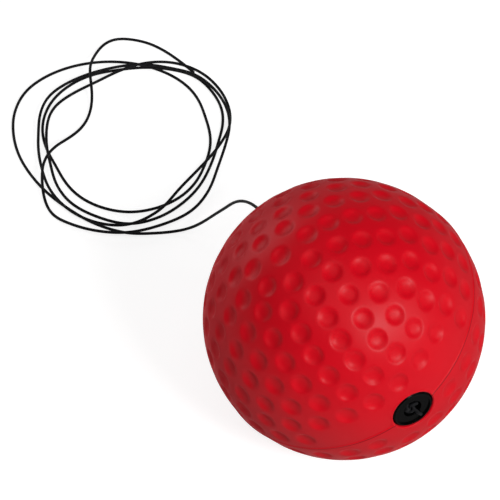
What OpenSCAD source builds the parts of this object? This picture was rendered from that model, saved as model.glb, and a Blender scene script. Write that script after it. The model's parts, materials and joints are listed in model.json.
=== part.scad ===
// Boxing reflex ball: a dimpled foam ball on a thin elastic cord, anchored by a knotted plug.
// The ball rests on the floor at the origin. Its cord hole runs along X, with the plug at +X.

/* [Ball] */
// Diameter of the foam ball
ball_d = 63; // [54:0.5:80]
// How far the mould's parting line is rolled about the cord hole, in degrees
parting_roll = 31; // [0:1:90]

/* [Dimples] */
// Width of a dimple at the surface of the ball
dimple_d = 4.2; // [2:0.1:4.6]
// Depth of a dimple below the round of the ball
dimple_depth = 0.55; // [0.3:0.05:1]
// Distance between neighbouring rings of dimples, measured along the surface
ring_pitch = 5.42; // [5.1:0.01:8]
// Distance between neighbouring dimples in a ring
dimple_pitch = 6.66; // [5.2:0.01:9]
// Plain strip on each side of the parting line
parting_land = 2; // [0.5:0.1:4]
// Plain foam beyond the plug's edge, along the parting line, on the upper half of the ball
plain_above = 17; // [5:0.5:20]
// Plain foam beyond the plug's edge, along the parting line, on the lower half
plain_below = 5; // [4:0.5:20]
// Plain foam beyond the plug's edge, across the parting line
plain_across = 3.2; // [2.4:0.1:7]

/* [Plug] */
// Diameter of the plug's head
plug_head_d = 10; // [8:0.5:13]
// Thickness of the plug's head at its edge
plug_head_t = 2.8; // [2.4:0.1:4]
// Width of the raised rim round the head
plug_rim_w = 0.8; // [0.4:0.1:1.2]
// How far the rim stands above the face inside it
plug_rim_h = 0.4; // [0.2:0.1:0.8]
// Bevel on the outer edge of the rim
plug_bevel = 0.3; // [0.1:0.05:0.35]
// Diameter of the shank that grips the foam
shank_d = 6; // [5.2:0.1:7]
// Length of the shank under the head
shank_l = 14; // [9:0.5:20]
// Barbs along the shank
barb_count = 3; // [1:1:4]
// How far a barb stands out of the shank
barb_h = 0.6; // [0.3:0.05:0.8]
// Plain length of shank between one barb and the next
barb_gap = 1; // [0.4:0.1:1.2]
// Plain length of shank before the first barb
barb_tip = 1; // [0.5:0.1:2]
// Clearance of the plug in its socket
plug_fit = 0.03; // [0.01:0.01:0.1]

/* [Cord] */
// Diameter of the cord
cord_d = 0.75; // [0.6:0.05:0.9]
// Clearance round the cord in the plug and in the ball
cord_clear = 0.3; // [0.15:0.05:0.6]
// Clearance at the ball's mouth, where the ball swings on its cord
bend_clear = 0.2; // [0.15:0.01:0.25]
// Radius of the ring that the knot winds round
knot_ring_r = 1; // [0.95:0.05:1.1]
// Radius of the knot's own winding round that ring
knot_wind_r = 0.55; // [0.5:0.05:0.6]
// Clearance of the knot in its recess
knot_clear = 0.2; // [0.1:0.05:0.3]
// Least gap between loops that lie on each other
loop_gap = 0.45; // [0.44:0.01:0.6]

/* [Hidden] */
$fn = 48;

foam_red = "#c8141e";
plug_black = "#161616";
cord_black = "#222224";

ball_r = ball_d / 2;
cord_r = cord_d / 2;
hole_r = cord_r + cord_clear;
// How far a cutter runs past the surface that it opens
cut_past = 1;

// The cord leaves the ball at its mouth and bends just outside it
mouth_x = -ball_r;
inner_tip_x = mouth_x - 2 * bend_clear;
bend_x = mouth_x - cord_r - bend_clear;
lead_start_x = bend_x - cord_r - bend_clear;

// How far each ring of dimples is turned from the plug, in degrees, from the parting line to the pole
ring_turn = [4, 3.5, 11.5, 10.5, 14, 21, 2, -10];

// Distance from the ball's mouth to the middle of the loops
coil_out = 75.5;

// Reach of the loops from their middle, at every twelfth of a turn, clockwise from the side near the ball
loop_reach = [
    35.5, 35, 31, 30, 32, 35, 33, 28.5, 23.5, 19, 18.5, 20,
    24.5, 27.5, 26, 23, 24.5, 27, 28, 26.5, 27, 24, 20.5, 21.5,
    26.5, 32, 30, 24.5, 23.5, 25, 24.5, 27, 29, 26, 22, 20,
    23, 33.5, 32, 27, 25.5, 28, 27, 25, 26.5, 25, 23, 24,
    30.5, 36, 35.5, 27.5
];
reach_step = 30;
loop_rings = 24;
loop_step = 360 / loop_rings;
loop_start = 15;
loop_end = 1500;
// Steepest fall of a loop from one ring to the next where it comes off another loop
loop_fall = 1;
// Rings on each side over which a loop eases down
loop_ease = 5;

// Free lead: distance out from the mouth, distance to the side, and share of the mouth's height
lead_route = [
    [4.5, 0, 1], [9.5, 0, 0.98], [14, 0, 0.925], [18.5, 0, 0.825], [22.5, 0, 0.7],
    [26.5, -0.2, 0.54], [30.5, -0.8, 0.38], [34, -1.8, 0.23], [37, -3, 0.11], [39.2, -4.8, 0.035]
];

// Free tail: place on the floor from the middle of the loops, and height
tail_route = [
    [14.3, -31.4, 0.4], [10.5, -31, 0.8], [7, -30, 1.9], [3.9, -28.6, 2.8], [0.5, -26.9, 2.9],
    [-2.4, -24.4, 2.9], [-4.7, -21.2, 2.6], [-6.9, -17.4, 1.4], [-8.6, -14.2, 0.6], [-10.6, -10.6, 0.4],
    [-14.2, -7, 0.4], [-18.3, -4.3, 1.4], [-22.6, -2.6, 3], [-26.4, -1.2, 3.4], [-29.6, 0.6, 3],
    [-32.8, 3, 1.8], [-35.6, 5.4, 0.8], [-37.9, 8.3, 0.4], [-38.6, 11.5, 0.4], [-36.8, 14.8, 0.4],
    [-33, 18.7, 0.4], [-28, 21.2, 0.4], [-22.3, 22.9, 0.4], [-16.7, 24.1, 0.4]
];
spans_per_point = 2;
free_sides = 8;
loop_sides = 6;

function unit(v) = v / norm(v);

// Smooth curve through values that are evenly spaced, at place s along the list
function between(list, s) =
    let (
        last = len(list) - 1,
        i = min(max(floor(s), 0), last - 1),
        f = s - i,
        a = list[max(i - 1, 0)],
        b = list[i],
        c = list[i + 1],
        d = list[min(i + 2, last)]
    )
    b + f / 2 * (c - a + f * (2 * a - 5 * b + 4 * c - d + f * (3 * (b - c) + d - a)));

// Route with more points along the same smooth curve, kept on or above the floor
function finer(route) =
    [
        for (i = [0 : (len(route) - 1) * spans_per_point])
            let (p = between(route, i / spans_per_point))
            [p.x, p.y, max(p.z, cord_r)]
    ];

function heading(path, i) = unit(path[min(i + 1, len(path) - 1)] - path[max(i - 1, 0)]);

function ring_across(centre, along, side, sides) =
    [
        for (k = [0 : sides - 1])
            let (turn = 360 * k / sides)
            centre + cord_r * (cos(turn) * side + sin(turn) * cross(side, along))
    ];

function side_faces(rings, sides, closed) =
    let (count = rings * sides)
    [
        for (i = [0 : rings - (closed ? 1 : 2)], k = [0 : sides - 1])
            let (
                a = i * sides + k,
                b = i * sides + (k + 1) % sides,
                c = (a + sides) % count,
                d = (b + sides) % count
            )
            each [[a, c, b], [b, c, d]]
    ];

function end_faces(rings, sides) =
    let (last = (rings - 1) * sides)
    [for (k = [1 : sides - 2]) each [[0, k, k + 1], [last, last + k + 1, last + k]]];

// Cord along an open path
module tube(path, sides) {
    points = [
        for (i = [0 : len(path) - 1])
            let (along = heading(path, i))
            each ring_across(path[i], along, unit(cross(along, [0, 0, 1])), sides)
    ];
    polyhedron(points, concat(side_faces(len(path), sides, false), end_faces(len(path), sides)));
}

// Loops: rings at even steps of turn, with their reach, then the height at which each rests
loop_last = (loop_end - loop_start) / loop_step;
loop_pitch = cord_d + loop_gap;
reaches = [for (i = [0 : loop_last]) between(loop_reach, (loop_start + i * loop_step) / reach_step)];

// Least distance in plan between rings i and j of two loops, from the ring before to the ring after
function apart(i, j) =
    let (gaps = [for (k = [-1 : 1]) if (i + k <= loop_last && j + k >= 0) reaches[i + k] - reaches[j + k]])
    min(gaps) * max(gaps) <= 0 ? 0 : min([for (g = gaps) abs(g)]);

// A loop lies on the floor, or on every earlier loop that it meets
function needed(i, heights) =
    max(concat(cord_r, [
        for (j = [i - loop_rings : -loop_rings : 0])
            if (apart(i, j) < loop_pitch) heights[j] + loop_pitch
    ]));

function eased(i, heights) =
    max([
        for (k = [-loop_ease : loop_ease])
            if (i + k >= 0 && i + k <= loop_last) needed(i + k, heights) - abs(k) * loop_fall
    ]);

function laid(heights = []) =
    len(heights) > loop_last ? heights : laid(concat(heights, eased(len(heights), heights)));

loop_heights = laid();
coil_mid = [mouth_x - coil_out, 0, 0];
coil_path = [
    for (i = [0 : loop_last])
        let (turn = -(loop_start + i * loop_step))
        coil_mid + [reaches[i] * cos(turn), reaches[i] * sin(turn), loop_heights[i]]
];

// The free ends meet the loops face to face, and run straight for one diameter there and at the mouth
coil_first = coil_path[0];
coil_final = coil_path[loop_last];
lead_path = concat(
    [[lead_start_x, 0, ball_r]],
    finer(concat(
        [[lead_start_x - cord_d, 0, ball_r]],
        [for (p = lead_route) [mouth_x - p[0], p[1], ball_r * p[2]]],
        [coil_first - cord_d * heading(coil_path, 0)]
    )),
    [coil_first]
);
tail_path = concat(
    [coil_final],
    finer(concat(
        [coil_final + cord_d * heading(coil_path, loop_last)],
        [for (p = tail_route) coil_mid + p]
    ))
);

function length_of(path) =
    let (steps = [for (i = [1 : len(path) - 1]) norm(path[i] - path[i - 1])])
    steps * [for (s = steps) 1];

// Points along a path, several to each span, for measuring gaps
gap_steps = 4;
function sampled(path) =
    [
        for (i = [0 : len(path) - 2], k = [0 : gap_steps - 1])
            path[i] + (path[i + 1] - path[i]) * k / gap_steps
    ];

// Least gap of the loops to themselves, half a turn or more apart, and of the tail past its start to them
loop_points = sampled(coil_path);
half_turn = loop_rings / 2 * gap_steps;
own_gap = min([
    for (i = [0 : len(loop_points) - half_turn - 1])
        min([for (j = [i + half_turn : len(loop_points) - 1]) norm(loop_points[i] - loop_points[j])])
]) - cord_d;
tail_points = sampled([for (i = [2 : len(tail_path) - 1]) tail_path[i]]);
tail_gap = min([for (p = tail_points) min([for (q = loop_points) norm(p - q)])]) - cord_d;
cord_outside = length_of(lead_path) + length_of(coil_path) + length_of(tail_path);
echo(str("least gap of the loops to themselves: ", own_gap, " mm"));
echo(str("least gap of the tail to the loops: ", tail_gap, " mm"));
echo(str("cord outside the ball: ", cord_outside, " mm"));

// Plug: places along X, and its half outline as [radius, place], grown by a clearance
plug_r = plug_head_d / 2;
plug_edge_x = sqrt(ball_r * ball_r - plug_r * plug_r);
head_under_x = plug_edge_x - plug_head_t;
shank_tip_x = head_under_x - shank_l;
face_x = plug_edge_x - plug_rim_h;
barb_pitch = (shank_l - barb_tip) / barb_count;
knot_reach = knot_wind_r + cord_r;
knot_x = face_x - knot_reach;
recess_r = knot_ring_r + knot_reach + knot_clear;
recess_x = knot_x - knot_reach - knot_clear;

function plug_outline(grow) =
    let (shank_r = shank_d / 2 + grow)
    concat(
        [[0, shank_tip_x - grow], [shank_r, shank_tip_x - grow]],
        [
            for (i = [0 : barb_count - 1])
                let (
                    start_x = shank_tip_x + barb_tip + i * barb_pitch,
                    step_x = start_x + barb_pitch - barb_gap
                )
                each [[shank_r, start_x], [shank_r + barb_h, step_x], [shank_r, step_x + grow]]
        ],
        [[shank_r, head_under_x - grow], [plug_r + grow, head_under_x - grow]]
    );

// Places its children on the axis of the cord hole, with their Z along X
module on_cord_axis(x) {
    translate([x, 0, ball_r]) rotate([0, 90, 0]) children();
}

// One dimple: a shallow round dish, cut a little past the dimple's own circle
dimple_lip = 0.08;
module dimple_cutter() {
    half = dimple_d / 2;
    dish = dimple_depth - (ball_r - sqrt(ball_r * ball_r - half * half));
    round_r = (half * half + dish * dish) / (2 * dish);
    translate([0, 0, ball_r - dimple_depth]) intersection() {
        translate([0, 0, round_r]) sphere(round_r);
        cylinder(h = 2 * dimple_depth, r = half + dimple_lip);
    }
}

function surface_angle(distance) = distance / ball_r * 180 / PI;

ring_angle = surface_angle(ring_pitch);
lowest_ring = surface_angle(dimple_d / 2 + parting_land);
plain_across_angle = surface_angle(plug_r + plain_across);
ring_count = floor((90 - lowest_ring) / ring_angle);

// Dimples lie outside the plain patches at longitude 0 and 180, where the cord hole comes out
function dimpled(lon, lat, plain_along) =
    let (
        off = min(abs(lon), abs(180 - lon), abs(360 - lon)),
        plain_along_angle = surface_angle(plug_r + plain_along)
    )
    pow(off / plain_along_angle, 2) + pow(lat / plain_across_angle, 2) > 1;

// One dimple at the mould's pole, and rings of them from the parting line towards it
module half_dimples(plain_along) {
    dimple_cutter();
    for (k = [0 : ring_count - 1]) {
        lat = lowest_ring + k * ring_angle;
        count = round(2 * PI * ball_r * cos(lat) / dimple_pitch);
        for (i = [0 : count - 1]) {
            lon = (ring_turn[k % len(ring_turn)] + i * 360 / count + 360) % 360;
            if (dimpled(lon, lat, plain_along)) rotate([0, 90 - lat, lon]) dimple_cutter();
        }
    }
}

module foam_ball() {
    socket = concat(plug_outline(plug_fit), [[plug_r + plug_fit, ball_r], [0, ball_r]]);
    color(foam_red) difference() {
        on_cord_axis(0) sphere(ball_r);
        translate([0, 0, ball_r]) rotate([parting_roll, 0, 0]) {
            half_dimples(plain_above);
            mirror([0, 0, 1]) half_dimples(plain_below);
        }
        on_cord_axis(0) rotate_extrude() polygon(socket);
        on_cord_axis(mouth_x - cut_past) cylinder(h = shank_tip_x - mouth_x + 2 * cut_past, r = hole_r);
    }
}

module anchor_plug() {
    head = [
        [plug_r, plug_edge_x - plug_bevel],
        [plug_r - plug_bevel, plug_edge_x],
        [plug_r - plug_rim_w, plug_edge_x],
        [plug_r - plug_rim_w, face_x],
        [recess_r, face_x],
        [recess_r, recess_x],
        [0, recess_x]
    ];
    color(plug_black) difference() {
        on_cord_axis(0) rotate_extrude() polygon(concat(plug_outline(0), head));
        on_cord_axis(shank_tip_x - cut_past) cylinder(h = recess_x - shank_tip_x + 2 * cut_past, r = hole_r);
    }
}

// Overhand knot pulled up: the cord winds three times round a ring that it follows twice
knot_sides = 6;
knot_rings = 48;
module stopper_knot() {
    forward = [1, 0, 0];
    points = [
        for (i = [0 : knot_rings - 1])
            let (
                t = 360 * i / knot_rings,
                outward = [0, cos(2 * t), sin(2 * t)],
                around = [0, -sin(2 * t), cos(2 * t)],
                reach = knot_ring_r + knot_wind_r * cos(3 * t),
                centre = [knot_x + knot_wind_r * sin(3 * t), 0, ball_r] + reach * outward,
                winding = 3 * knot_wind_r * (cos(3 * t) * forward - sin(3 * t) * outward),
                side = unit(cos(3 * t) * outward + sin(3 * t) * forward)
            )
            each ring_across(centre, unit(winding + 2 * reach * around), side, knot_sides)
    ];
    color(cord_black) polyhedron(points, side_faces(knot_rings, knot_sides, true));
}

// The run through the ball ends one diameter behind the middle of the knot
module cord_inner() {
    color(cord_black) on_cord_axis(inner_tip_x) cylinder(h = knot_x - cord_d - inner_tip_x, r = cord_r);
}

module cord_lead() {
    color(cord_black) tube(lead_path, free_sides);
}

module cord_coil() {
    color(cord_black) tube(coil_path, loop_sides);
}

module cord_tail() {
    color(cord_black) tube(tail_path, free_sides);
}

foam_ball();
anchor_plug();
stopper_knot();
cord_inner();
cord_lead();
cord_coil();
cord_tail();
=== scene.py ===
# %% [markdown]
# # A boxing reflex ball
# The object is a red foam ball on a thin elastic cord. The cord is knotted behind a black plug, runs
# through the ball and lies in loose loops beside it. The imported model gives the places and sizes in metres.
# This lesson dresses it piece by piece: first the camera and the cord, then the foam, the plug and the
# knot, and at the end the finishes and the light.

# %% Load the frame
import json
import math

import bpy
import numpy as np
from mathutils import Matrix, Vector


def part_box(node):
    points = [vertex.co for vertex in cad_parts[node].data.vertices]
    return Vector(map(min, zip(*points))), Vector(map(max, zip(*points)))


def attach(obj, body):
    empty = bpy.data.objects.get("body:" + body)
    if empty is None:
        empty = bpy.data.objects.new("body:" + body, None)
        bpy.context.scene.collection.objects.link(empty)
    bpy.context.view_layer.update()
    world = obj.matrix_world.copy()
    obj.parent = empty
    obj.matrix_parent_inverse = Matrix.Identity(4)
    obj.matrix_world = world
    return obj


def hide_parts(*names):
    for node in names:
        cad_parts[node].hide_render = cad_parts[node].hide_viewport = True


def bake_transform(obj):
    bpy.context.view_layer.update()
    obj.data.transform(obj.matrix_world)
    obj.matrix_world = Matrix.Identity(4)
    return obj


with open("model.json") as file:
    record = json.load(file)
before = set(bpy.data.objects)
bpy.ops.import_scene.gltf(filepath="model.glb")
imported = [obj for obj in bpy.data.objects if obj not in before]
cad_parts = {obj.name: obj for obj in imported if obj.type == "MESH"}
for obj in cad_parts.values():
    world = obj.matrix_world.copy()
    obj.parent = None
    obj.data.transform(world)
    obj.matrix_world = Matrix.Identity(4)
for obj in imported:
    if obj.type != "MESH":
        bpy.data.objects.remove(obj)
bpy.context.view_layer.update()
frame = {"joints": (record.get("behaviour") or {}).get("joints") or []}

MM = 0.001
joint_at = {joint["name"]: np.array(joint["pos_m"]) for joint in frame["joints"]}
ball_mid = joint_at["ball_spin"]
ball_r = ball_mid[2]
mouth = ball_mid - [ball_r, 0, 0]
print("Ball radius", round(ball_r / MM, 2), "mm, and the cord leaves it at", mouth.round(4))

# %% [markdown]
# The picture is taken from above, on the plug's side, with the loops of cord behind the ball. A long lens
# far away gives the same flat perspective. The camera could be turned by hand until the outlines meet;
# giving its direction, distance and aim as numbers keeps it there whenever the script runs again.

# %% Camera
CAMERA_AZIMUTH = math.radians(59.78)
CAMERA_ELEVATION = math.radians(45.52)
CAMERA_DISTANCE = 630 * MM
CAMERA_AIM = Vector((-19.83, -13.29, 41.76)) * MM
LENS_MM = 203.1
SENSOR_MM = 36


def direction(azimuth, elevation):
    """Unit vector: azimuth turns it from -Y towards +X, and elevation lifts it above the floor."""
    level = math.cos(elevation)
    return Vector((math.sin(azimuth) * level, -math.cos(azimuth) * level, math.sin(elevation)))


def add_object(name, data):
    """New object at the origin, linked into the scene."""
    made = bpy.data.objects.new(name, data)
    bpy.context.scene.collection.objects.link(made)
    return made


camera = add_object("camera", bpy.data.cameras.new("camera"))
camera.data.lens = LENS_MM
camera.data.sensor_width = SENSOR_MM
camera.location = Vector(ball_mid) + CAMERA_DISTANCE * direction(CAMERA_AZIMUTH, CAMERA_ELEVATION)
camera.rotation_euler = (CAMERA_AIM - camera.location).to_track_quat("-Z", "Y").to_euler()
bpy.context.scene.camera = camera
print("Camera at", [round(v, 3) for v in camera.location])

# %% [markdown]
# The cord is one thin elastic line. It comes straight out of the ball's mouth, drops to the floor, lies in
# about four loops and ends bare. A curve object with a bevel would do, but a tube worked out from its
# centre line also gets a map that runs along the cord, which the braid needs. The route is a few listed
# points, in millimetres: for the loops only their reach, at every twelfth of a turn.

# %% Route of the cord
CORD_D = 0.75 * MM
# From the ball's mouth to the middle of the loops
COIL_OUT = 75.5 * MM
# Reach of the loops from their middle, clockwise from the side near the ball
LOOP_REACH = np.array([
    35.5, 35, 31, 30, 32, 35, 33, 28.5, 23.5, 19, 18.5, 20,
    24.5, 27.5, 26, 23, 24.5, 27, 28, 26.5, 27, 24, 20.5, 21.5,
    26.5, 32, 30, 24.5, 23.5, 25, 24.5, 27, 29, 26, 22, 20,
    23, 33.5, 32, 27, 25.5, 28, 27, 25, 26.5, 25, 23, 24,
    30.5, 36, 35.5, 27.5,
]) * MM
# Distance out from the mouth, distance to the side, and share of the mouth's height
LEAD_ROUTE = np.array([
    [4.5, 0, 1], [9.5, 0, 0.98], [14, 0, 0.925], [18.5, 0, 0.825], [22.5, 0, 0.7],
    [26.5, -0.2, 0.54], [30.5, -0.8, 0.38], [34, -1.8, 0.23], [37, -3, 0.11], [39.2, -4.8, 0.035],
])
# Place on the floor from the middle of the loops, and height
TAIL_ROUTE = np.array([
    [14.3, -31.4, 0.4], [10.5, -31, 0.8], [7, -30, 1.9], [3.9, -28.6, 2.8], [0.5, -26.9, 2.9],
    [-2.4, -24.4, 2.9], [-4.7, -21.2, 2.6], [-6.9, -17.4, 1.4], [-8.6, -14.2, 0.6], [-10.6, -10.6, 0.4],
    [-14.2, -7, 0.4], [-18.3, -4.3, 1.4], [-22.6, -2.6, 3], [-26.4, -1.2, 3.4], [-29.6, 0.6, 3],
    [-32.8, 3, 1.8], [-35.6, 5.4, 0.8], [-37.9, 8.3, 0.4], [-38.6, 11.5, 0.4], [-36.8, 14.8, 0.4],
    [-33, 18.7, 0.4], [-28, 21.2, 0.4], [-22.3, 22.9, 0.4], [-16.7, 24.1, 0.4],
]) * MM

cord_r = CORD_D / 2
coil_mid = np.array([mouth[0] - COIL_OUT, 0, 0])
lead_out, lead_side, height_share = LEAD_ROUTE.T
lead_points = np.stack([mouth[0] - lead_out * MM, lead_side * MM, height_share * ball_r], axis=1)
tail_points = coil_mid + TAIL_ROUTE
print(len(lead_points), "points of lead and", len(tail_points), "points of tail")

# %% [markdown]
# A cord has no corners, so the points need a smooth curve through them. A Bezier curve would want two
# handles at each point. A Catmull-Rom curve wants none, goes through every point and also works on plain
# numbers, so the loops' reach can use it too.

# %% Smooth curve through points
ROUTE_SPANS = 8


def curve_through(points, place):
    """Catmull-Rom curve: between two points it is the cubic whose slope at each of them is half the step
    from the point before to the point after. place counts the points from the first one."""
    last = len(points) - 1
    i = np.clip(np.floor(place).astype(int), 0, last - 1)
    f = (place - i).reshape(-1, *[1] * (points.ndim - 1))
    a, b, c, d = (points[np.clip(i + k, 0, last)] for k in (-1, 0, 1, 2))
    return b + f / 2 * (c - a + f * (2 * a - 5 * b + 4 * c - d + f * (3 * (b - c) + d - a)))


def finer(points, spans):
    """The same smooth curve with more points on it: so many spans between each point and the next."""
    return curve_through(points, np.arange((len(points) - 1) * spans + 1) / spans)


print("The lead drawn finer has", len(finer(lead_points, ROUTE_SPANS)), "points")

# %% [markdown]
# A limp cord that is dropped in loops lies on itself wherever it crosses. A rope simulation could drop it.
# Here each ring of a loop takes the lowest height that clears every earlier loop under it and eases down
# within a few rings, so that each crossing is a long low hump.

# %% Loops that lie on each other
# Rings in each turn of a loop, and reaches given for it
LOOP_RINGS = 24
REACHES_PER_TURN = 12
# First and last ring, in degrees
LOOP_START = 15
LOOP_END = 1500
# Room between strands that cross, and how a hump eases: its fall from ring to ring, and for how many rings
LOOP_GAP = 0.45 * MM
LOOP_FALL = 1 * MM
LOOP_EASE = 5

loop_pitch = CORD_D + LOOP_GAP
loop_turn = np.arange(LOOP_START, LOOP_END + 1, 360 / LOOP_RINGS)
reach = curve_through(LOOP_REACH, loop_turn / 360 * REACHES_PER_TURN)
ring_total = len(reach)


def resting_height(i, heights):
    """Ring i lies on the floor, or one pitch above each earlier loop whose reach crosses its own there or
    comes within a pitch of it."""
    height = cord_r
    for j in range(i - LOOP_RINGS, -1, -LOOP_RINGS):
        near = [k for k in (-1, 0, 1) if i + k < ring_total and j + k >= 0]
        gaps = np.array([reach[i + k] - reach[j + k] for k in near])
        if gaps.min() * gaps.max() <= 0 or abs(gaps).min() < loop_pitch:
            height = max(height, heights[j] + loop_pitch)
    return height


loop_height = []
for i in range(ring_total):
    near = range(max(i - LOOP_EASE, 0), min(i + LOOP_EASE, ring_total - 1) + 1)
    loop_height.append(max(resting_height(k, loop_height) - abs(k - i) * LOOP_FALL for k in near))
angle = -np.radians(loop_turn)
loop_points = coil_mid + np.stack([reach * np.cos(angle), reach * np.sin(angle), loop_height], axis=1)
print(ring_total, "rings of loop, the highest", round(max(loop_height) / MM, 2), "mm up")

# %% [markdown]
# Lead, loops and tail are one cord, so their points join into one centre line. It is cut into even short
# steps and then eased: each point moves towards its neighbours a few dozen times, as a tight little kink
# relaxes in a real cord. The line starts just inside the ball, so that no gap shows at the mouth.

# %% Centre line of the cord
START_INSIDE = 0.3 * MM
STRAIGHT_OUT = 2 * MM
CORD_STEP = 0.5 * MM
EASE_PASSES = 40


def distance_along(points):
    """Distance of each point from the first one: the running sum of the straight steps between them."""
    return np.append(0, np.cumsum(np.linalg.norm(np.diff(points, axis=0), axis=1)))


def even_steps(points, step):
    """The same line with its points moved to even distances along it."""
    along = distance_along(points)
    places = np.linspace(0, along[-1], int(round(along[-1] / step)) + 1)
    return np.stack([np.interp(places, along, points[:, k]) for k in range(3)], axis=1)


cord_start = mouth + [START_INSIDE, 0, 0]
leaving = np.stack([cord_start, mouth - [STRAIGHT_OUT, 0, 0]])
cord_line = finer(np.concatenate([leaving, lead_points, loop_points, tail_points]), ROUTE_SPANS)
cord_line = even_steps(cord_line, CORD_STEP)
for _ in range(EASE_PASSES):
    cord_line[1:-1] = (cord_line[:-2] + 2 * cord_line[1:-1] + cord_line[2:]) / 4
cord_line[:, 2] = np.maximum(cord_line[:, 2], cord_r)

# %% [markdown]
# Every new piece is a grid of points, with rows along the piece and columns round it. One helper joins the
# grid into faces and closes it where it comes back to its start. It also gives each corner of a face its
# own place on a map, so that a pattern on the map does not smear where the grid closes.

# %% Piece from a grid of points


def piece_from_grid(name, grid, rows_close=False, row_place=None):
    """Joins points [row, column] into four-cornered faces, columns always closing. An open grid gets a flat
    face at each end. row_place makes a map: the row's place, and the share of a turn round the piece."""
    rows, columns = grid.shape[:2]
    row, column = np.indices((rows if rows_close else rows - 1, columns)).reshape(2, -1, 1)
    corner_row = row + [0, 0, 1, 1]
    corner_column = column + [0, 1, 1, 0]
    faces = (corner_row % rows * columns + corner_column % columns).tolist()
    if not rows_close:
        end = np.arange(columns)
        faces += [end[::-1].tolist(), (end + (rows - 1) * columns).tolist()]
    mesh = bpy.data.meshes.new(name)
    mesh.from_pydata(grid.reshape(-1, 3).tolist(), [], faces)
    mesh.polygons.foreach_set("use_smooth", np.ones(len(faces), bool))
    if row_place is not None:
        places = np.stack([row_place[corner_row], corner_column / columns], axis=-1).reshape(-1, 2)
        map_points = np.zeros((len(mesh.loops), 2))
        map_points[:len(places)] = places
        mesh.uv_layers.new(name="along").data.foreach_set("uv", map_points.ravel())
    print(name, "has", len(faces), "faces")
    return add_object(name, mesh)


# %% [markdown]
# The free cord is a round tube along the centre line. Its cut end is drawn in to a small dome, as a blade
# and a touch of heat leave it. The cord bends where the ball swings on it.

# %% Free cord
CORD_COLUMNS = 10
END_ROUNDING = 0.3 * MM
END_ROWS = 5
UP = np.array([0.0, 0.0, 1.0])


def unit(vectors):
    """Each vector divided by its own length."""
    return vectors / np.linalg.norm(vectors, axis=-1, keepdims=True)


def tube(line, along, side, radius, columns):
    """Grid of a round tube: at each point of the line, a circle in the plane of side and of along x side."""
    turn = 2 * np.pi * np.arange(columns) / columns
    across = np.cross(along, side)
    ring = np.cos(turn)[:, None] * side[:, None] + np.sin(turn)[:, None] * across[:, None]
    return line[:, None] + np.reshape(radius, (-1, 1, 1)) * ring


def laid_cord(name, line):
    """Tube along a line that is nowhere upright. Its far end is drawn in by a quarter circle of rounding."""
    along = unit(np.gradient(line, axis=0))
    past = np.linspace(0, 1, END_ROWS)[1:]
    tip = line[-1] + END_ROUNDING * np.sin(past * np.pi / 2)[:, None] * along[-1]
    narrowing = 1 - END_ROUNDING * (1 - np.cos(past * np.pi / 2)) / cord_r
    line = np.concatenate([line, tip])
    along = np.concatenate([along, np.repeat(along[-1:], len(past), axis=0)])
    radius = cord_r * np.append(np.ones(len(line) - len(past)), narrowing)
    grid = tube(line, along, unit(np.cross(along, UP)), radius, CORD_COLUMNS)
    return piece_from_grid(name, grid, row_place=distance_along(line) / MM)


free_cord = laid_cord("free_cord", cord_line)
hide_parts("cord_lead", "cord_coil", "cord_tail")
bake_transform(free_cord)

# %% [markdown]
# Inside the ball the cord is pulled straight between its knot and the mouth. It could be left to the packed
# model, because only its ends can be seen, but the same tube gives it the same braid. It stays with the
# knot while the ball turns round it.

# %% Run of cord through the ball
inner_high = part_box("cord_inner")[1]
run_ends = np.array([[inner_high.x, 0, ball_r], cord_start])
inner_run = laid_cord("inner_run", even_steps(run_ends, CORD_STEP)[:-1])
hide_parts("cord_inner")
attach(inner_run, "inner_cord")

# %% [markdown]
# The ball is one moulding of integral-skin foam. Round shallow dimples lie in rings about the mould's pole,
# and the foam is plain along the parting line and round both ends of the cord hole. Dimples could be cut
# with hundreds of booleans, or drawn as bump. Moving the points of a fine grid in and out by a formula
# gives dimples that are real shape, with soft edges and broad, nearly flat floors.

# %% Dimples
DIMPLE_D = 4.4 * MM
DIMPLE_DEPTH = 0.66 * MM
DIMPLE_SOFT = 0.06 * MM
DIMPLE_PITCH = 6.66 * MM
RING_PITCH = 5.42 * MM
# Turn of each ring from the plug, from the parting line to the pole
RING_TURN = np.radians([4, 3.5, 11.5, 10.5, 14, 21, 2, -10])
PARTING_LAND = 2 * MM
PLUG_R = 5 * MM
# Plain foam beyond the plug: along the parting line on the upper and on the lower half, and across it
PLAIN_ABOVE = 17 * MM
PLAIN_BELOW = 5 * MM
PLAIN_ACROSS = 3.2 * MM

lowest_ring = (DIMPLE_D / 2 + PARTING_LAND) / ball_r
ring_latitude = np.append(lowest_ring + np.arange(len(RING_TURN)) * RING_PITCH / ball_r, np.pi / 2)
ring_turn = np.append(RING_TURN, 0)
ring_round = 2 * np.pi * ball_r * np.cos(ring_latitude)
ring_count = np.maximum(1, np.round(ring_round / DIMPLE_PITCH))


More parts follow.
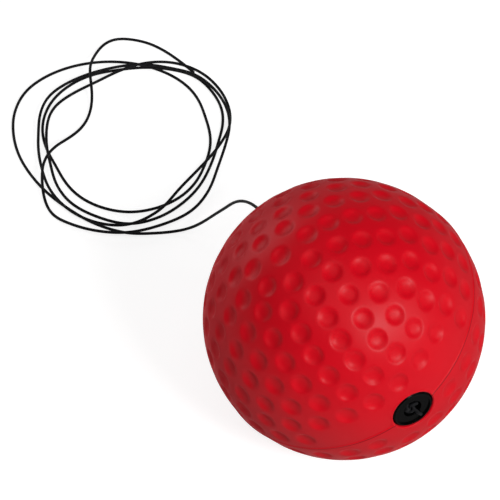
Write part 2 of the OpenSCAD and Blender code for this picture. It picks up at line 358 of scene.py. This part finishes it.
def dimple_depth(latitude, longitude):
    """For each ring of dimples: the surface distance d to the nearest dimple in it, and a bowl as deep as
    depth x (1 - (d / half width) cubed), with a soft maximum against the plain round. A dimple whose middle
    is inside the ellipse of plain foam round the hole is left out."""
    depth = np.zeros_like(latitude)
    plain_along = (PLUG_R + np.where(latitude > 0, PLAIN_ABOVE, PLAIN_BELOW)) / ball_r
    plain_across = (PLUG_R + PLAIN_ACROSS) / ball_r
    for ring, turn, count in zip(ring_latitude, ring_turn, ring_count):
        nearest = turn + np.round((longitude - turn) * count / (2 * np.pi)) * 2 * np.pi / count
        straight = np.sin(np.abs(latitude)) * np.sin(ring)
        turned = np.cos(latitude) * np.cos(ring) * np.cos(longitude - nearest)
        distance = ball_r * np.arccos(np.clip(straight + turned, -1, 1))
        bowl = DIMPLE_DEPTH * (1 - (2 * distance / DIMPLE_D) ** 3)
        soft_bowl = (bowl + np.sqrt(bowl ** 2 + DIMPLE_SOFT ** 2)) / 2
        from_hole = np.abs((nearest + np.pi / 2) % np.pi - np.pi / 2)
        kept = (from_hole / plain_along) ** 2 + (ring / plain_across) ** 2 > 1
        depth = np.maximum(depth, np.where(kept, soft_bowl, 0))
    return depth


print("Dimples in the rings of each half, before the plain foam:", ring_count.astype(int).tolist())

# %% [markdown]
# Two more marks of the mould and the making are on the ball. Where the halves of the mould met, a fine
# ridge and a groove run side by side. Round the plug the pressed foam stands up in a low bead. Both are
# bells of a fraction of a millimetre, added to the radius by the same formula as the dimples, and each edge
# of the hole is rounded off.

# %% Surface of the foam
PARTING_ROLL = math.radians(31)
SEAM_HEIGHT = 0.2 * MM
SEAM_HALF = 0.17 * MM
SEAM_STEP = 0.14 * MM
BEAD_HEIGHT = 0.12 * MM
BEAD_PLACE = 0.35 * MM
BEAD_HALF = 0.22 * MM
LIP_ROUND = 0.25 * MM


def bell(distance, half):
    """Bell curve: 1 in the middle, and e to the power of minus (distance / half) squared beside it."""
    return np.exp(-(distance / half) ** 2)


def turned_round(x, radius, around):
    """Points at a distance from the cord hole's axis: x along it, and the angle round it from +Y to +Z."""
    x, radius = np.broadcast_arrays(x, radius)
    round_y, round_z = radius * np.cos(around), radius * np.sin(around)
    return ball_mid + np.stack(np.broadcast_arrays(x, round_y, round_z), axis=-1)


def foam_surface(from_mouth, around):
    """Sphere: a row is an angle from the mouth, a column an angle round the cord hole. The radius loses the
    dimples, gains the seam, which is a bell-shaped ridge beside a groove, and the bead that the plug pushed
    up, and drops by a quarter circle at each end of the hole."""
    row, column = from_mouth[:, None], around[None, :] - PARTING_ROLL
    latitude = np.arcsin(np.clip(np.sin(row) * np.sin(column), -1, 1))
    longitude = np.arctan2(np.sin(row) * np.cos(column), -np.cos(row))
    from_seam = ball_r * latitude
    seam = SEAM_HEIGHT * (bell(from_seam - SEAM_STEP, SEAM_HALF) - bell(from_seam + SEAM_STEP, SEAM_HALF))
    from_socket = ball_r * (from_mouth[-1] - row)
    bead = BEAD_HEIGHT * bell(from_socket - BEAD_PLACE, BEAD_HALF)
    to_edge = np.minimum(ball_r * (row - from_mouth[0]), from_socket)
    into_lip = np.clip(LIP_ROUND - to_edge, 0, None)
    lip = LIP_ROUND - np.sqrt(LIP_ROUND ** 2 - into_lip ** 2)
    radius = ball_r - dimple_depth(latitude, longitude) + seam + bead - lip
    return turned_round(-radius * np.cos(row), radius * np.sin(row), around)


print("Seam", round(SEAM_HEIGHT / MM, 2), "mm high, bead", round(BEAD_HEIGHT / MM, 2), "mm high")

# %% [markdown]
# The grid of the ball runs from the mouth to the plug and back through the hole, so that the skin is one
# closed surface. Its rows and columns are close together only where the shape is fine, at the lips of the
# hole and along the seam. A subdivided sphere would need millions of faces for the same edges.

# %% Foam ball
FOAM_ROWS = 190
FOAM_COLUMNS = 432
# Rows beside a lip, columns beside the seam, and where the even rows begin
LIP_ROWS = np.array([0, 0.03, 0.08, 0.15, 0.25, 0.35, 0.45, 0.6, 0.8]) * MM
SEAM_COLUMNS = np.array([0, 0.07, 0.14, 0.23, 0.33, 0.45, 0.6]) * MM
PAST_LIP = 1.2 * MM
# The cord runs free in its hole, and the plug fits its socket tightly.
CORD_CLEAR = 0.3 * MM
PLUG_FIT = 0.03 * MM
HEAD_T = 2.8 * MM
BARB_R = 3.6 * MM
# How far in from its lip each straight wall begins
SOCKET_START = 1.2 * MM
HOLE_START = 1.5 * MM

hole_r = cord_r + CORD_CLEAR
socket_r = PLUG_R + PLUG_FIT
hole_angle = math.asin(hole_r / ball_r)
socket_angle = math.pi - math.asin(socket_r / ball_r)
lip_rows = LIP_ROWS / ball_r
past_lip = PAST_LIP / ball_r
middle_rows = np.linspace(hole_angle + past_lip, socket_angle - past_lip, FOAM_ROWS)
foam_rows = np.concatenate([hole_angle + lip_rows, middle_rows, socket_angle - lip_rows[::-1]])
even_columns = PARTING_ROLL + 2 * np.pi * np.arange(FOAM_COLUMNS) / FOAM_COLUMNS
seam_columns = [
    PARTING_ROLL + half * np.pi + way * SEAM_COLUMNS / ball_r for half in (0, 1) for way in (1, -1)
]
foam_columns = np.unique(np.concatenate([even_columns % (2 * np.pi), *seam_columns]).round(9))

plug_low, plug_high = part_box("anchor_plug")
socket_step = plug_high.x - HEAD_T - PLUG_FIT
socket_end = plug_low.x - PLUG_FIT
barb_socket_r = BARB_R + 2 * PLUG_FIT
socket_line = np.array([
    [plug_high.x - SOCKET_START, socket_r],
    [socket_step, socket_r],
    [socket_step, barb_socket_r],
    [socket_end, barb_socket_r],
    [socket_end, hole_r],
    [mouth[0] + HOLE_START, hole_r],
])
inner_wall = turned_round(socket_line[:, :1], socket_line[:, 1:], foam_columns)
foam_grid = np.concatenate([foam_surface(foam_rows, foam_columns), inner_wall])
foam_skin = piece_from_grid("foam_skin", foam_grid, rows_close=True)
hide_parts("foam_ball")
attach(foam_skin, "ball")

# %% [markdown]
# The plug is a black moulding pressed flush into the foam. Its shank with three barbs is hidden; what shows
# is a round head with a raised rim, and the recess that holds the knot. Cylinders joined by booleans would
# do. It is a turned shape, so one half outline with a few corners gives all of it.

# %% Outline of the plug
SHANK_R = 3 * MM
BARB_COUNT = 3
BARB_TIP = 1 * MM
BARB_GAP = 1 * MM
RIM_W = 0.8 * MM
RIM_H = 0.4 * MM
BEVEL = 0.5 * MM
KNOT_RING_R = 1 * MM
KNOT_WIND_R = 0.55 * MM
KNOT_CLEAR = 0.2 * MM

knot_half = KNOT_WIND_R + cord_r
recess_r = KNOT_RING_R + knot_half + KNOT_CLEAR
edge_x = plug_high.x
under_x = edge_x - HEAD_T
face_x = edge_x - RIM_H
recess_x = face_x - 2 * knot_half - KNOT_CLEAR
tip_x = plug_low.x
barb_pitch = (under_x - tip_x - BARB_TIP) / BARB_COUNT
barb_x = tip_x + BARB_TIP + barb_pitch * np.arange(BARB_COUNT)
barb_end = barb_x + barb_pitch - BARB_GAP
barbs = np.stack([
    np.stack([barb_x, np.full(BARB_COUNT, SHANK_R)], axis=1),
    np.stack([barb_end, np.full(BARB_COUNT, BARB_R)], axis=1),
    np.stack([barb_end, np.full(BARB_COUNT, SHANK_R)], axis=1),
], axis=1).reshape(-1, 2)
plug_outline = np.concatenate([
    [[tip_x, hole_r], [tip_x, SHANK_R]],
    barbs,
    [
        [under_x, SHANK_R], [under_x, PLUG_R], [edge_x - BEVEL, PLUG_R], [edge_x, PLUG_R - BEVEL],
        [edge_x, PLUG_R - RIM_W], [face_x, PLUG_R - RIM_W], [face_x, recess_r],
        [recess_x, recess_r], [recess_x, hole_r],
    ],
])
print("Outline of the plug has", len(plug_outline), "corners")

# %% [markdown]
# No moulded edge is quite sharp, and each small round catches a line of light. A Bevel modifier could break
# the edges. Here the corners of the outline are rounded before it is carried round the axis of the cord
# hole, which takes fewer faces.

# %% Anchor plug
PLUG_COLUMNS = 96
CORNER_ROUND = 0.14 * MM
CORNER_STEPS = 5
# The largest share of a side that a cut takes
LONGEST_CUT = 0.3
# Where the extra point on a flat is, counted in cuts from the corner
FLAT_FROM = 1.5


def rounded(outline, cut):
    """Closed outline with each corner replaced by the parabola that leaves one side and joins the next, a
    cut away from the corner, with one more point on each side to keep the flats flat."""
    before = np.roll(outline, 1, axis=0) - outline
    after = np.roll(outline, -1, axis=0) - outline
    reach_before = np.linalg.norm(before, axis=1, keepdims=True)
    reach_after = np.linalg.norm(after, axis=1, keepdims=True)
    cut = np.minimum(cut, LONGEST_CUT * np.minimum(reach_before, reach_after))
    start, end = cut * before / reach_before, cut * after / reach_after
    s = np.linspace(0, 1, CORNER_STEPS)[None, :, None]
    bend = (1 - s) ** 2 * start[:, None] + s ** 2 * end[:, None]
    offsets = np.concatenate([FLAT_FROM * start[:, None], bend, FLAT_FROM * end[:, None]], axis=1)
    return (outline[:, None] + offsets).reshape(-1, 2)


plug_line = rounded(plug_outline, CORNER_ROUND)
plug_around = 2 * np.pi * np.arange(PLUG_COLUMNS) / PLUG_COLUMNS
plug_grid = turned_round(plug_line[:, :1], plug_line[:, 1:], plug_around)
plug = piece_from_grid("plug", plug_grid, rows_close=True)
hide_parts("anchor_plug")
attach(plug, "ball")

# %% [markdown]
# The cord ends in an overhand knot, pulled up in the plug's recess. A trefoil is an overhand knot with its
# ends joined: the cord winds three times round a ring that it follows twice. It could be a bevelled curve;
# the same tube as before keeps one finish for all the cord.

# %% Stopper knot
KNOT_ROWS = 192
FORWARD = np.array([1.0, 0.0, 0.0])

knot_mid = np.array([face_x - knot_half, 0, ball_r])
t = 2 * np.pi * np.arange(KNOT_ROWS)[:, None] / KNOT_ROWS
outward = np.concatenate([0 * t, np.cos(2 * t), np.sin(2 * t)], axis=1)
sideways = np.concatenate([0 * t, -np.sin(2 * t), np.cos(2 * t)], axis=1)
ring_reach = KNOT_RING_R + KNOT_WIND_R * np.cos(3 * t)
knot_line = knot_mid + KNOT_WIND_R * np.sin(3 * t) * FORWARD + ring_reach * outward
winding = 3 * KNOT_WIND_R * (np.cos(3 * t) * FORWARD - np.sin(3 * t) * outward)
knot_along = unit(winding + 2 * ring_reach * sideways)
knot_side = np.cos(3 * t) * outward + np.sin(3 * t) * FORWARD
knot_place = distance_along(np.concatenate([knot_line, knot_line[:1]])) / MM
knot_grid = tube(knot_line, knot_along, knot_side, cord_r, CORD_COLUMNS)
knot = piece_from_grid("knot", knot_grid, rows_close=True, row_place=knot_place)
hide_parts("stopper_knot")
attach(knot, "inner_cord")

# %% [markdown]
# A few millimetres of cord are left beyond the knot, cut off square and lying on the plug's face. They come
# up out of the knot on a short smooth curve, made in the same way as the route of the free cord, and they
# move with the knot.

# %% Cut end on the plug's face
# Places from the middle of the plug's face: out of the face, to the side and up, in millimetres
STUB_ROUTE = np.array([
    [-0.7, 0.5, -0.5], [0.1, 0.95, -1.05], [0.4, 1.35, -1.55], [0.39, 1.75, -2.0], [0.385, 2.05, -2.4],
]) * MM
STUB_SPANS = 6

stub_line = np.array([face_x, 0, ball_r]) + finer(STUB_ROUTE, STUB_SPANS)
stub_along = unit(np.gradient(stub_line, axis=0))
stub_side = unit(np.cross(stub_along, FORWARD))
stub_grid = tube(stub_line, stub_along, stub_side, cord_r, CORD_COLUMNS)
cut_end = piece_from_grid("cut_end", stub_grid, row_place=distance_along(stub_line) / MM)
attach(cut_end, "inner_cord")

# %% [markdown]
# Finishes are built from nodes. One function turns a colour as it is written for the screen into the linear
# values that light needs, and one adds a node with its settings and its links.

# %% Helpers for finishes


def linear(written):
    """Screen colour such as #c8141e as linear red, green, blue and 1: the sRGB curve undone."""
    screen = np.array([int(written[k:k + 2], 16) for k in (1, 3, 5)]) / 255
    light = np.where(screen <= 0.04045, screen / 12.92, ((screen + 0.055) / 1.055) ** 2.4)
    return (*light.tolist(), 1)


def add_node(tree, kind, inputs=(), **settings):
    """New node: settings are its properties, and inputs gives a socket a value or another node's output."""
    node = tree.nodes.new(kind)
    for name, value in settings.items():
        setattr(node, name, value)
    for name, value in dict(inputs).items():
        if isinstance(value, bpy.types.NodeSocket):
            tree.links.new(value, node.inputs[name])
        else:
            node.inputs[name].default_value = value
    return node


def new_finish(name):
    """Empty material and its node tree."""
    finish = bpy.data.materials.new(name)
    finish.use_nodes = True
    finish.node_tree.nodes.clear()
    return finish, finish.node_tree


print("Middle grey on the screen is", round(linear("#808080")[0], 3), "in light")

# %% [markdown]
# Integral-skin polyurethane foam is coloured through. Where it met the cool mould it set as a closed satin
# skin, with a faint cloudy mottle from the spray that lets it go and a grain of fine pores. The eye gets a
# deep red with one wide soft highlight. Seen edge on, the rims of the pores stand in front of the smooth
# skin, so the gloss is dulled there and only a weak sheen is left. An image could carry the mottle; noise
# on the object's own coordinates has no seams and keeps its size in millimetres.

# %% Polyurethane foam skin
MOTTLE_MM = 9
# Real pores are near 0.1 mm, too fine to show, so the grain is drawn coarser.
GRAIN_MM = 0.7
# A thin darker line just below the parting line is painted shade, standing in for the shadow in the seam's
# groove.
SEAM_SHADE_BELOW = 0.26 * MM
SEAM_SHADE_HALF = 0.24 * MM

foam_finish, tree = new_finish("polyurethane_foam_skin")
place = add_node(tree, "ShaderNodeTexCoord").outputs["Object"]
mottle = add_node(tree, "ShaderNodeTexNoise", {"Vector": place, "Scale": 1 / (MOTTLE_MM * MM), "Detail": 3})
grain = add_node(tree, "ShaderNodeTexNoise", {"Vector": place, "Scale": 1 / (GRAIN_MM * MM), "Detail": 2})
clouded = add_node(tree, "ShaderNodeMix", {
    0: mottle.outputs[0], 6: linear("#c60216"), 7: linear("#d20319"),
}, data_type="RGBA")
pole = np.array([0, -math.sin(PARTING_ROLL), math.cos(PARTING_ROLL)])
towards_pole = add_node(tree, "ShaderNodeVectorMath", {0: place, 1: pole}, operation="DOT_PRODUCT")
# Painted shade: a band just below the parting line is darkened to stand in for the shadow in the seam's
# groove.
painted_seam_shade = add_node(tree, "ShaderNodeMath", {
    0: towards_pole.outputs["Value"], 1: ball_mid @ pole - SEAM_SHADE_BELOW, 2: SEAM_SHADE_HALF,
}, operation="COMPARE")
red = add_node(tree, "ShaderNodeMix", {
    0: painted_seam_shade.outputs[0], 6: clouded.outputs[2], 7: linear("#980212"),
}, data_type="RGBA")
rough = add_node(tree, "ShaderNodeMapRange", {"Value": mottle.outputs[0], "To Min": 0.37, "To Max": 0.45})
bump = add_node(tree, "ShaderNodeBump", {"Height": grain.outputs[0], "Strength": 0.12, "Distance": 0.1 * MM})
facing = add_node(tree, "ShaderNodeLayerWeight")
dulled = add_node(tree, "ShaderNodeMapRange", {
    "Value": facing.outputs["Facing"], "From Min": 0.25, "From Max": 0.65,
    "To Min": rough.outputs[0], "To Max": 0.75,
})
skin = add_node(tree, "ShaderNodeBsdfPrincipled", {
    "Base Color": red.outputs[2], "Roughness": dulled.outputs[0], "Normal": bump.outputs[0],
    "Specular IOR Level": 0.14, "Sheen Weight": 0.05, "Sheen Roughness": 0.4,
})
add_node(tree, "ShaderNodeOutputMaterial", {"Surface": skin.outputs[0]})
foam_skin.data.materials.append(foam_finish)
print("Foam mottle", MOTTLE_MM, "mm, grain", GRAIN_MM, "mm")

# %% [markdown]
# The plug is black polyethylene, moulded in a mould with a finely blasted face. The plastic is waxy: the
# flats stay near black, and only the rounded rim picks up a thin line of light. A plain black would look
# like a hole in the ball, so one noise moves the colour, the roughness and a slight bump.

# %% Moulded polyethylene
# Real grit leaves pits near 0.1 mm, too fine to show, so they are drawn coarser.
BLAST_MM = 0.5

plug_finish, tree = new_finish("moulded_polyethylene")
place = add_node(tree, "ShaderNodeTexCoord").outputs["Object"]
blast = add_node(tree, "ShaderNodeTexNoise", {"Vector": place, "Scale": 1 / (BLAST_MM * MM), "Detail": 3})
black = add_node(tree, "ShaderNodeMix", {
    0: blast.outputs[0], 6: linear("#020202"), 7: linear("#060606"),
}, data_type="RGBA")
rough = add_node(tree, "ShaderNodeMapRange", {"Value": blast.outputs[0], "To Min": 0.14, "To Max": 0.22})
bump = add_node(tree, "ShaderNodeBump", {"Height": blast.outputs[0], "Strength": 0.1, "Distance": 0.1 * MM})
plastic = add_node(tree, "ShaderNodeBsdfPrincipled", {
    "Base Color": black.outputs[2], "Roughness": rough.outputs[0], "Normal": bump.outputs[0],
    "Specular IOR Level": 0.02,
})
add_node(tree, "ShaderNodeOutputMaterial", {"Surface": plastic.outputs[0]})
plug.data.materials.append(plug_finish)
print("Blasted face of the plug, grit", BLAST_MM, "mm")

# %% [markdown]
# The cord is latex thread in a braided polyester sleeve. Its strands cross in two slants round the cord, so
# the eye gets a dull black line with a faint twinkle. The sleeve could be modelled strand by strand, at
# great cost; two slanted waves on the cord's own map, one each way, give the crossing as colour and as
# bump.

# %% Braided polyester sleeve
# A real sleeve has eight or so strands each way, too fine to show, so about four are drawn as one.
STRANDS_EACH_WAY = 2
BRAID_MM = 2.4
# At this scale a diagonal wave repeats whenever the sum of its coordinates grows by 2.
WAVE_SCALE = math.pi / 10
WAVE_REPEAT = 2

cord_finish, tree = new_finish("braided_polyester")
place = add_node(tree, "ShaderNodeUVMap", uv_map="along").outputs[0]
slants = []
for way in (1, -1):
    turned = add_node(tree, "ShaderNodeMapping", {
        "Vector": place, "Scale": (WAVE_REPEAT / BRAID_MM, way * WAVE_REPEAT * STRANDS_EACH_WAY, 0),
    })
    wave = add_node(tree, "ShaderNodeTexWave", {
        "Vector": turned.outputs[0], "Scale": WAVE_SCALE,
    }, bands_direction="DIAGONAL")
    slants.append(wave.outputs["Fac"])
strands = add_node(tree, "ShaderNodeMath", {0: slants[0], 1: slants[1]}, operation="MAXIMUM")
thread = add_node(tree, "ShaderNodeMix", {
    0: strands.outputs[0], 6: linear("#0d0d0e"), 7: linear("#1b1b1d"),
}, data_type="RGBA")
bump = add_node(tree, "ShaderNodeBump", {
    "Height": strands.outputs[0], "Strength": 0.5, "Distance": 0.05 * MM,
})
sleeve = add_node(tree, "ShaderNodeBsdfPrincipled", {
    "Base Color": thread.outputs[2], "Normal": bump.outputs[0], "Roughness": 0.6, "Specular IOR Level": 0.06,
})
add_node(tree, "ShaderNodeOutputMaterial", {"Surface": sleeve.outputs[0]})
for piece in (free_cord, inner_run, knot, cut_end):
    piece.data.materials.append(cord_finish)
print("Braid of", STRANDS_EACH_WAY, "drawn strands each way, repeating every", BRAID_MM, "mm")

# %% [markdown]
# A white floor with low walls far away shows no edge behind the object. More light would wash out the red,
# so the floor glows, but only for rays from the camera and for mirrored and see-through ones. The rest of
# its brightness is plain pale paint under the lamps, which keeps the shadow.

# %% Floor
FLOOR_HALF = 3
WALL_HEIGHT = 1
FLOOR_DROP = 0.05 * MM
FLOOR_GLOW = 0.8

floor_mesh = bpy.data.meshes.new("floor")
corners = FLOOR_HALF * np.array([[-1, -1, 0], [1, -1, 0], [1, 1, 0], [-1, 1, 0]]) - [0, 0, FLOOR_DROP]
floor_points = np.concatenate([corners, corners + [0, 0, WALL_HEIGHT]])
walls = [(k, k + 4, (k + 1) % 4 + 4, (k + 1) % 4) for k in range(4)]
floor_mesh.from_pydata(floor_points.tolist(), [], [(0, 1, 2, 3), *walls])
floor = add_object("floor", floor_mesh)
floor_finish, tree = new_finish("matt_white_paint")
rays = add_node(tree, "ShaderNodeLightPath").outputs
seen = rays["Is Camera Ray"]
for ray in ("Is Glossy Ray", "Is Transmission Ray"):
    seen = add_node(tree, "ShaderNodeMath", {0: seen, 1: rays[ray]}, operation="MAXIMUM").outputs[0]
glow = add_node(tree, "ShaderNodeMath", {0: seen, 1: FLOOR_GLOW}, operation="MULTIPLY")
shine = add_node(tree, "ShaderNodeEmission", {"Strength": glow.outputs[0]})
paint = add_node(tree, "ShaderNodeBsdfDiffuse", {"Color": linear("#b4b4b4")})
both = add_node(tree, "ShaderNodeAddShader", {0: shine.outputs[0], 1: paint.outputs[0]})
add_node(tree, "ShaderNodeOutputMaterial", {"Surface": both.outputs[0]})
floor_mesh.materials.append(floor_finish)
print("Floor", 2 * FLOOR_HALF, "m wide")

# %% [markdown]
# Four soft boxes light the ball: a key at the right that makes the wide highlight, a weaker one beside it
# for the right edge, a fill from above and a low one behind on the left that gives the far edge its sheen.
# A weak white world softens what they leave dark. One big dome of light would be simpler, but it hides the
# dimples.

# %% Light
LAMP_DISTANCE = 0.8
# Name, azimuth and elevation in degrees, width in metres and power in watts
LAMPS = [
    ("key", 94, 36, 0.2, 3.6),
    ("side", 120, 27, 0.4, 1.9),
    ("fill", 39, 62, 0.6, 1.3),
    ("rim", 283, 13, 0.4, 1.8),
]
WORLD_STRENGTH = 0.12

scene = bpy.context.scene
scene.view_settings.view_transform = "Standard"
scene.world = bpy.data.worlds.new("studio")
scene.world.use_nodes = True
background = scene.world.node_tree.nodes["Background"].inputs
background["Color"].default_value = (1, 1, 1, 1)
background["Strength"].default_value = WORLD_STRENGTH
for name, azimuth, elevation, width, watts in LAMPS:
    lamp = add_object(name, bpy.data.lights.new(name, "AREA"))
    lamp.data.size = width
    lamp.data.energy = watts
    to_lamp = direction(math.radians(azimuth), math.radians(elevation))
    lamp.location = Vector(ball_mid) + LAMP_DISTANCE * to_lamp
    lamp.rotation_euler = to_lamp.to_track_quat("Z", "Y").to_euler()
print(len(LAMPS), "lamps, world", WORLD_STRENGTH)
